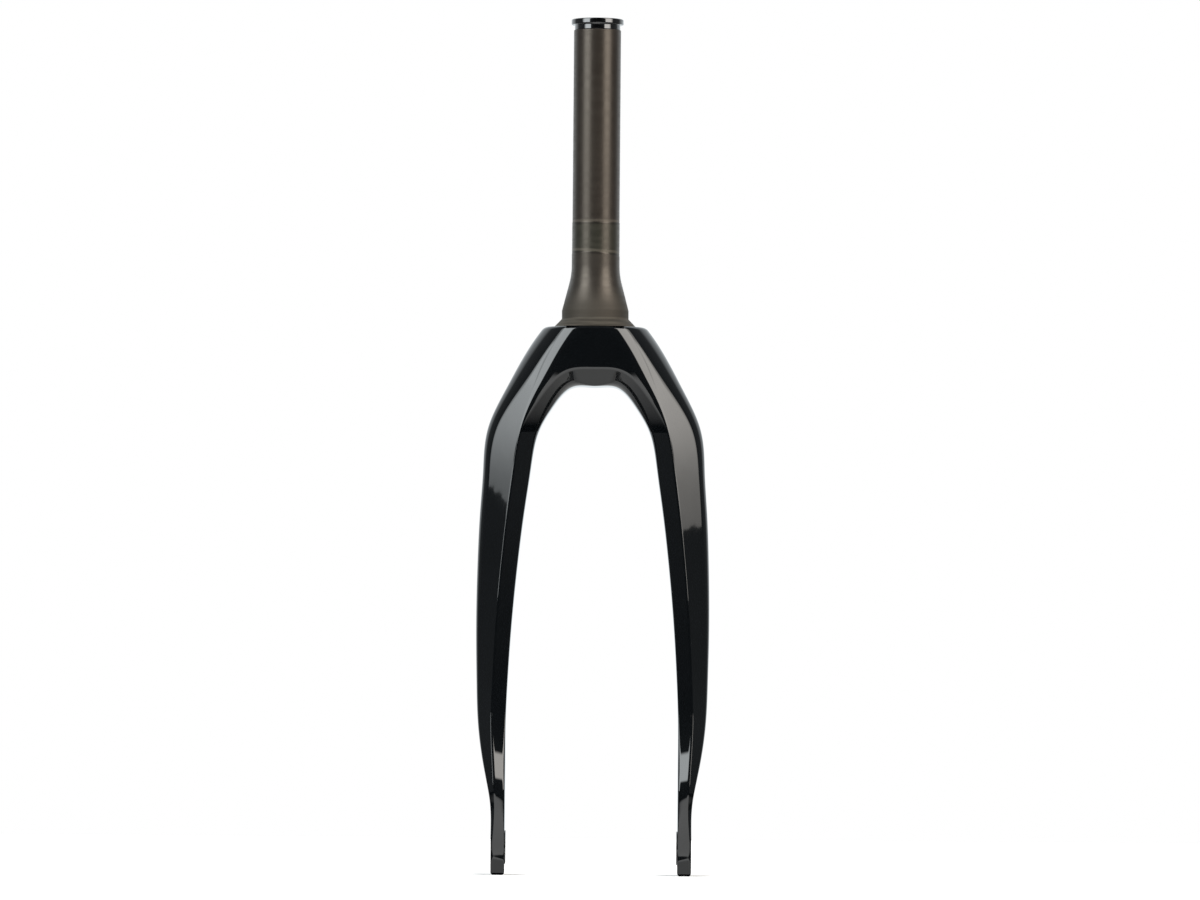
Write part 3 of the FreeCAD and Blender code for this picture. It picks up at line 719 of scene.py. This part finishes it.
paper_colour = add_node(tree, "ShaderNodeMix", COLOUR_MIX,
                        {0: grain.outputs["Fac"], 6: hex_colour("#EEEEEE"), 7: hex_colour("#F6F6F6")})
strip = add_node(tree, "ShaderNodeMath", {"operation": "MAXIMUM"}, {0: direct, 1: side_fade.outputs[0]})
faded = add_node(tree, "ShaderNodeVectorMath", {"operation": "SCALE"}, {0: paper_colour.outputs[2]},
                 Scale=strip.outputs[0])
shader = add_node(tree, "ShaderNodeBsdfPrincipled", Base_Color=faded.outputs["Vector"], Roughness=0.9,
                  Specular_IOR_Level=0.0, Emission_Color=WHITE, Emission_Strength=glow.outputs[0])
add_node(tree, "ShaderNodeOutputMaterial", Surface=shader.outputs["BSDF"])
floor.data.materials.append(material)
print("white paper on the floor")

# %% [markdown]
# Two large softboxes stand to the left and right, in front of the fork and above it. The gloss shows them
# as the two long bands on the outer facets. Their cloth is dimmer towards its outer side and fades out at
# its inner edge, so the bands have soft sides.

# %% Softboxes
BOX_DISTANCE = 2.0
BOX_SPAN, BOX_HEIGHT = 1.33, 1.6
BOX_TILT = math.radians(27)
BOX_POWER = 53
OUTER_FADE, INNER_FADE = 0.29, 0.1
OUTER_SHARE = 0.27
target = Vector((0, 0, -0.05))
for side, sign, azimuth, tint in (("left", -1, 50.9, "#F0F6F8"), ("right", 1, 52.0, "#F8F4EE")):
    lamp = bpy.data.lights.new(side + "_softbox", "AREA")
    lamp.shape = "RECTANGLE"
    lamp.size = BOX_SPAN
    lamp.size_y = BOX_HEIGHT
    lamp.energy = BOX_POWER
    lamp.color = hex_colour(tint)[:3]
    lamp.use_nodes = True
    tree = lamp.node_tree
    cloth = add_node(tree, "ShaderNodeNewGeometry")
    spot = add_node(tree, "ShaderNodeSeparateXYZ", Vector=cloth.outputs["Parametric"])
    outer, inner = (0, 1) if sign < 0 else (1, 0)
    outer_fade = add_node(tree, "ShaderNodeMapRange", Value=spot.outputs["X"], From_Min=outer,
                          From_Max=abs(outer - OUTER_FADE), To_Min=OUTER_SHARE)
    inner_fade = add_node(tree, "ShaderNodeMapRange", EASED, Value=spot.outputs["X"], From_Min=inner,
                          From_Max=abs(inner - INNER_FADE))
    both = add_node(tree, "ShaderNodeMath", {"operation": "MULTIPLY"},
                    {0: outer_fade.outputs[0], 1: inner_fade.outputs[0]})
    tree.links.new(both.outputs[0], tree.nodes["Emission"].inputs["Strength"])
    box = bpy.data.objects.new(side + "_softbox", lamp)
    turn = sign * math.radians(azimuth)
    level_part = BOX_DISTANCE * math.cos(BOX_TILT)
    box.location = target + Vector((level_part * math.sin(turn), -level_part * math.cos(turn),
                                    BOX_DISTANCE * math.sin(BOX_TILT)))
    box.rotation_mode = "QUATERNION"
    box.rotation_quaternion = (target - box.location).to_track_quat("-Z", "Y")
    scene.collection.objects.link(box)
    print(f"{side} softbox, {BOX_SPAN} by {BOX_HEIGHT} m, {azimuth} degrees off the camera")

# %% [markdown]
# The crown and legs are painted black and sealed with clear lacquer, rubbed to a high gloss. The eye gets
# almost all of it from the mirror of the lacquer: the softboxes as long bands, the paper as thin lines
# along the edges. The mould's skin waves a little over a centimetre or so, and sprayed lacquer has the
# finer ripple called orange peel, so both bend the mirror. The ripple is drawn a little coarser than its
# real 2 mm. The paint under the lacquer is dull and has no mirror of its own.

# %% Gloss black lacquer
material, tree = new_material("gloss_black_lacquer")
place = add_node(tree, "ShaderNodeTexCoord").outputs["Object"]
blotches = add_node(tree, "ShaderNodeTexNoise", Vector=place, Scale=1 / (30 * MM), Detail=2.0)
black = add_node(tree, "ShaderNodeMix", COLOUR_MIX,
                 {0: blotches.outputs["Fac"], 6: hex_colour("#06080A"), 7: hex_colour("#0B0D0F")})
waves = add_node(tree, "ShaderNodeTexNoise", Vector=place, Scale=1 / (14 * MM), Detail=1.0)
skin_wave = add_node(tree, "ShaderNodeBump", Height=waves.outputs["Fac"], Distance=0.025 * MM)
peel = add_node(tree, "ShaderNodeTexNoise", Vector=place, Scale=1 / (2.5 * MM), Detail=1.0)
peel_wave = add_node(tree, "ShaderNodeBump", Height=peel.outputs["Fac"], Distance=0.0008 * MM,
                     Normal=skin_wave.outputs["Normal"])
shader = add_node(tree, "ShaderNodeBsdfPrincipled", Base_Color=black.outputs[2], Roughness=0.45,
                  Specular_IOR_Level=0.0, Coat_Weight=1.0, Coat_Roughness=0.025,
                  Coat_Normal=peel_wave.outputs["Normal"])
add_node(tree, "ShaderNodeOutputMaterial", Surface=shader.outputs["BSDF"])


def dress(material, *pieces):
    for piece in pieces:
        piece.data.materials.clear()
        piece.data.materials.append(material)


dress(material, crown_and_legs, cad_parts["fork_body"])
print("lacquer on the crown and legs")

# %% [markdown]
# The steerer is left as it comes off the mandrel: cured resin over carbon, wrapped in shrink tape and
# lightly sanded. It gives a soft satin sheen, brownish grey on the tube and a greener grey on the sheet
# below it. Where each sheet ends the tube steps in. The colour carries a painted shade as a dark line
# just below the step, and a painted highlight as a pale, broken line just above it. The lower sheet
# was laid on a little askew, so its end is measured along a slant.

# %% Satin carbon: the fibre sheets
SHEET_SLANT = 0.056
SHEET_FRONT, TUBE_FRONT = 39.8 * MM, 57.6 * MM
STEP_SHADE_BELOW, STEP_HIGHLIGHT_ABOVE = 0.8 * MM, 0.9 * MM
material, tree = new_material("satin_carbon")
place = add_node(tree, "ShaderNodeTexCoord").outputs["Object"]
axes = add_node(tree, "ShaderNodeSeparateXYZ", Vector=place)
drift = add_node(tree, "ShaderNodeTexNoise", Vector=place, Scale=1 / (20 * MM), Detail=2.0).outputs["Fac"]
slanted = add_node(tree, "ShaderNodeMath", {"operation": "MULTIPLY_ADD"},
                   {0: axes.outputs["X"], 1: SHEET_SLANT, 2: axes.outputs["Z"]})
foot = add_node(tree, "ShaderNodeMix", COLOUR_MIX,
                {0: drift, 6: hex_colour("#24211E"), 7: hex_colour("#302C28")})
colour = foot.outputs[2]


def near_line(height, centre, settings, strength, full, none):
    """A share that is strongest on a line at one height and falls to nothing beside it."""
    offset = add_node(tree, "ShaderNodeMath", {"operation": "SUBTRACT"}, {0: height, 1: centre})
    distance = add_node(tree, "ShaderNodeMath", {"operation": "ABSOLUTE"}, {0: offset.outputs[0]})
    share = add_node(tree, "ShaderNodeMapRange", settings, Value=distance.outputs[0], From_Min=full,
                     From_Max=none, To_Min=strength, To_Max=0.0)
    return share.outputs[0]


for dark, light, height, start in (("#20201B", "#2C2C25", slanted.outputs[0], SHEET_FRONT),
                                   ("#1E1A17", "#2A2521", axes.outputs["Z"], TUBE_FRONT)):
    shade = add_node(tree, "ShaderNodeMix", COLOUR_MIX,
                     {0: drift, 6: hex_colour(dark), 7: hex_colour(light)})
    above = add_node(tree, "ShaderNodeMapRange", Value=height, From_Min=start - 0.3 * MM, From_Max=start)
    sheet = add_node(tree, "ShaderNodeMix", COLOUR_MIX,
                     {0: above.outputs[0], 6: colour, 7: shade.outputs[2]})
    # Painted shade: a dark line just under the step where each sheet ends
    fine_lines = near_line(height, start - STEP_SHADE_BELOW, None, 0.75, 0.3 * MM, 0.9 * MM)
    with_step_shade = add_node(tree, "ShaderNodeMix", COLOUR_MIX,
                       {0: fine_lines, 6: sheet.outputs[2], 7: hex_colour("#0A0908")})
    # Painted highlight: a pale line just above that step, broken up by the drift noise
    step_highlight = near_line(height, start + STEP_HIGHLIGHT_ABOVE, EASED, 0.6, 0.3 * MM, 1.1 * MM)
    broken = add_node(tree, "ShaderNodeMath", {"operation": "MULTIPLY"}, {0: step_highlight, 1: drift})
    with_step_highlight = add_node(tree, "ShaderNodeMix", COLOUR_MIX,
                      {0: broken.outputs[0], 6: with_step_shade.outputs[2], 7: hex_colour("#6E675D")})
    colour = with_step_highlight.outputs[2]
print("satin carbon in three tones with two sheet ends")

# %% [markdown]
# The bearing seat at the foot is rubbed paler where a bearing has been pressed on and off, with streaks
# on the race below it. Sanding leaves fine rings round the whole tube, which make the satin sheen uneven.
# They are drawn at about 1.5 mm instead of the tenths they really are, since finer ones would vanish in
# the picture.

# %% Satin carbon: the rubbed seat and the sheen
SEAT_FADE_FROM, SEAT_FADE_TO = 3 * MM, 22 * MM
RACE_FADE = 1.2 * MM
SEAT_DULLER = 0.3
stretch = add_node(tree, "ShaderNodeVectorMath", {"operation": "MULTIPLY"},
                   {0: place, 1: (1 / (30 * MM), 1 / (30 * MM), 1 / (1.5 * MM))})
sanding = add_node(tree, "ShaderNodeTexNoise", Vector=stretch.outputs["Vector"], Scale=1.0, Detail=3.0)
on_seat = add_node(tree, "ShaderNodeMapRange", EASED, Value=axes.outputs["Z"], From_Min=SEAT_FADE_FROM,
                   From_Max=SEAT_FADE_TO, To_Min=1.0, To_Max=0.0)
on_race = add_node(tree, "ShaderNodeMapRange", EASED, Value=axes.outputs["Z"], From_Min=0.0,
                   From_Max=RACE_FADE, To_Min=1.0, To_Max=0.0)
streaks = add_node(tree, "ShaderNodeMapRange", Value=sanding.outputs["Fac"], From_Min=0.42, From_Max=0.62)
race_streaks = add_node(tree, "ShaderNodeMath", {"operation": "MULTIPLY"},
                        {0: streaks.outputs[0], 1: on_race.outputs[0]})
seat_colour = add_node(tree, "ShaderNodeMix", COLOUR_MIX,
                       {0: race_streaks.outputs[0], 6: hex_colour("#302D28"), 7: hex_colour("#4B4740")})
rubbed_colour = add_node(tree, "ShaderNodeMix", COLOUR_MIX,
                         {0: on_seat.outputs[0], 6: colour, 7: seat_colour.outputs[2]})
sheen = add_node(tree, "ShaderNodeMapRange", Value=sanding.outputs["Fac"], From_Min=0.3, From_Max=0.7,
                 To_Min=0.3, To_Max=0.4)
rubbed = add_node(tree, "ShaderNodeMath", {"operation": "MULTIPLY_ADD"},
                  {0: on_seat.outputs[0], 1: SEAT_DULLER, 2: sheen.outputs[0]})
scratches = add_node(tree, "ShaderNodeBump", Height=sanding.outputs["Fac"], Distance=0.02 * MM)
shader = add_node(tree, "ShaderNodeBsdfPrincipled", Base_Color=rubbed_colour.outputs[2],
                  Roughness=rubbed.outputs[0], IOR=1.55, Specular_Tint=hex_colour("#F4E6D6"),
                  Normal=scratches.outputs["Normal"])
add_node(tree, "ShaderNodeOutputMaterial", Surface=shader.outputs["BSDF"])
dress(material, steerer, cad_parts["steerer"])
print("satin carbon on the steerer")

# %% [markdown]
# The cap is turned from aluminium and anodised black: the dye sits in a clear, glassy oxide, so it shows
# crisp reflections over a black body, broken only by faint turning rings. Rings a tenth of a millimetre
# apart would be too fine to see, so these are a little wider.

# %% Black anodised aluminium
RING_NOISE = {"noise_dimensions": "1D"}
RING_SPACING = 0.4 * MM
material, tree = new_material("black_anodised_aluminium")
place = add_node(tree, "ShaderNodeTexCoord").outputs["Object"]
axes = add_node(tree, "ShaderNodeSeparateXYZ", Vector=place)
level_place = add_node(tree, "ShaderNodeCombineXYZ", X=axes.outputs["X"], Y=axes.outputs["Y"])
radius = add_node(tree, "ShaderNodeVectorMath", {"operation": "LENGTH"}, {0: level_place.outputs[0]})
feed = add_node(tree, "ShaderNodeMath", {"operation": "ADD"},
                {0: radius.outputs["Value"], 1: axes.outputs["Z"]})
fine_lines = add_node(tree, "ShaderNodeTexNoise", RING_NOISE, W=feed.outputs[0], Scale=1 / RING_SPACING)
cut = add_node(tree, "ShaderNodeBump", Height=fine_lines.outputs["Fac"], Distance=0.0015 * MM)
dye = add_node(tree, "ShaderNodeMix", COLOUR_MIX,
               {0: fine_lines.outputs["Fac"], 6: hex_colour("#0A0A0B"), 7: hex_colour("#161617")})
shader = add_node(tree, "ShaderNodeBsdfPrincipled", Base_Color=dye.outputs[2], Metallic=1.0, Roughness=0.3,
                  Coat_Weight=1.0, Coat_IOR=1.65, Coat_Roughness=0.03, Normal=cut.outputs["Normal"])
add_node(tree, "ShaderNodeOutputMaterial", Surface=shader.outputs["BSDF"])
dress(material, cap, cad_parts["plug_cap"])
print("black anodising on the cap")

# %% [markdown]
# The expander sleeve and its cone nut hide in the tube. They are plain turned aluminium: a bright grey
# metal with rings from the tool, drawn as wide as on the cap, which spread the light up and down.

# %% Machined aluminium
material, tree = new_material("machined_aluminium")
place = add_node(tree, "ShaderNodeTexCoord").outputs["Object"]
axes = add_node(tree, "ShaderNodeSeparateXYZ", Vector=place)
fine_lines = add_node(tree, "ShaderNodeTexNoise", RING_NOISE, W=axes.outputs["Z"], Scale=1 / RING_SPACING)
tone = add_node(tree, "ShaderNodeMix", COLOUR_MIX,
                {0: fine_lines.outputs["Fac"], 6: hex_colour("#C4C5C8"), 7: hex_colour("#D6D7D9")})
cut = add_node(tree, "ShaderNodeBump", Height=fine_lines.outputs["Fac"], Distance=0.01 * MM)
shader = add_node(tree, "ShaderNodeBsdfPrincipled", Base_Color=tone.outputs[2], Metallic=1.0, Roughness=0.3,
                  Normal=cut.outputs["Normal"])
add_node(tree, "ShaderNodeOutputMaterial", Surface=shader.outputs["BSDF"])
dress(material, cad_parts["plug_sleeve"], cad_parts["plug_wedge"])
print("plain aluminium on the sleeve and the cone nut")

# %% [markdown]
# The plug's bolt is hardened steel, blackened in a hot salt bath. The thin oxide is dark and slightly
# uneven, with a dull metallic sheen.

# %% Black oxide steel
material, tree = new_material("black_oxide_steel")
place = add_node(tree, "ShaderNodeTexCoord").outputs["Object"]
patches = add_node(tree, "ShaderNodeTexNoise", Vector=place, Scale=1 / (3 * MM), Detail=3.0).outputs["Fac"]
oxide = add_node(tree, "ShaderNodeMix", COLOUR_MIX,
                 {0: patches, 6: hex_colour("#2C2C2E"), 7: hex_colour("#3E3E40")})
dullness = add_node(tree, "ShaderNodeMapRange", Value=patches, To_Min=0.34, To_Max=0.5)
shader = add_node(tree, "ShaderNodeBsdfPrincipled", Base_Color=oxide.outputs[2], Metallic=1.0,
                  Roughness=dullness.outputs[0])
add_node(tree, "ShaderNodeOutputMaterial", Surface=shader.outputs["BSDF"])
dress(material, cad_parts["plug_bolt"])
print("black oxide on the bolt")
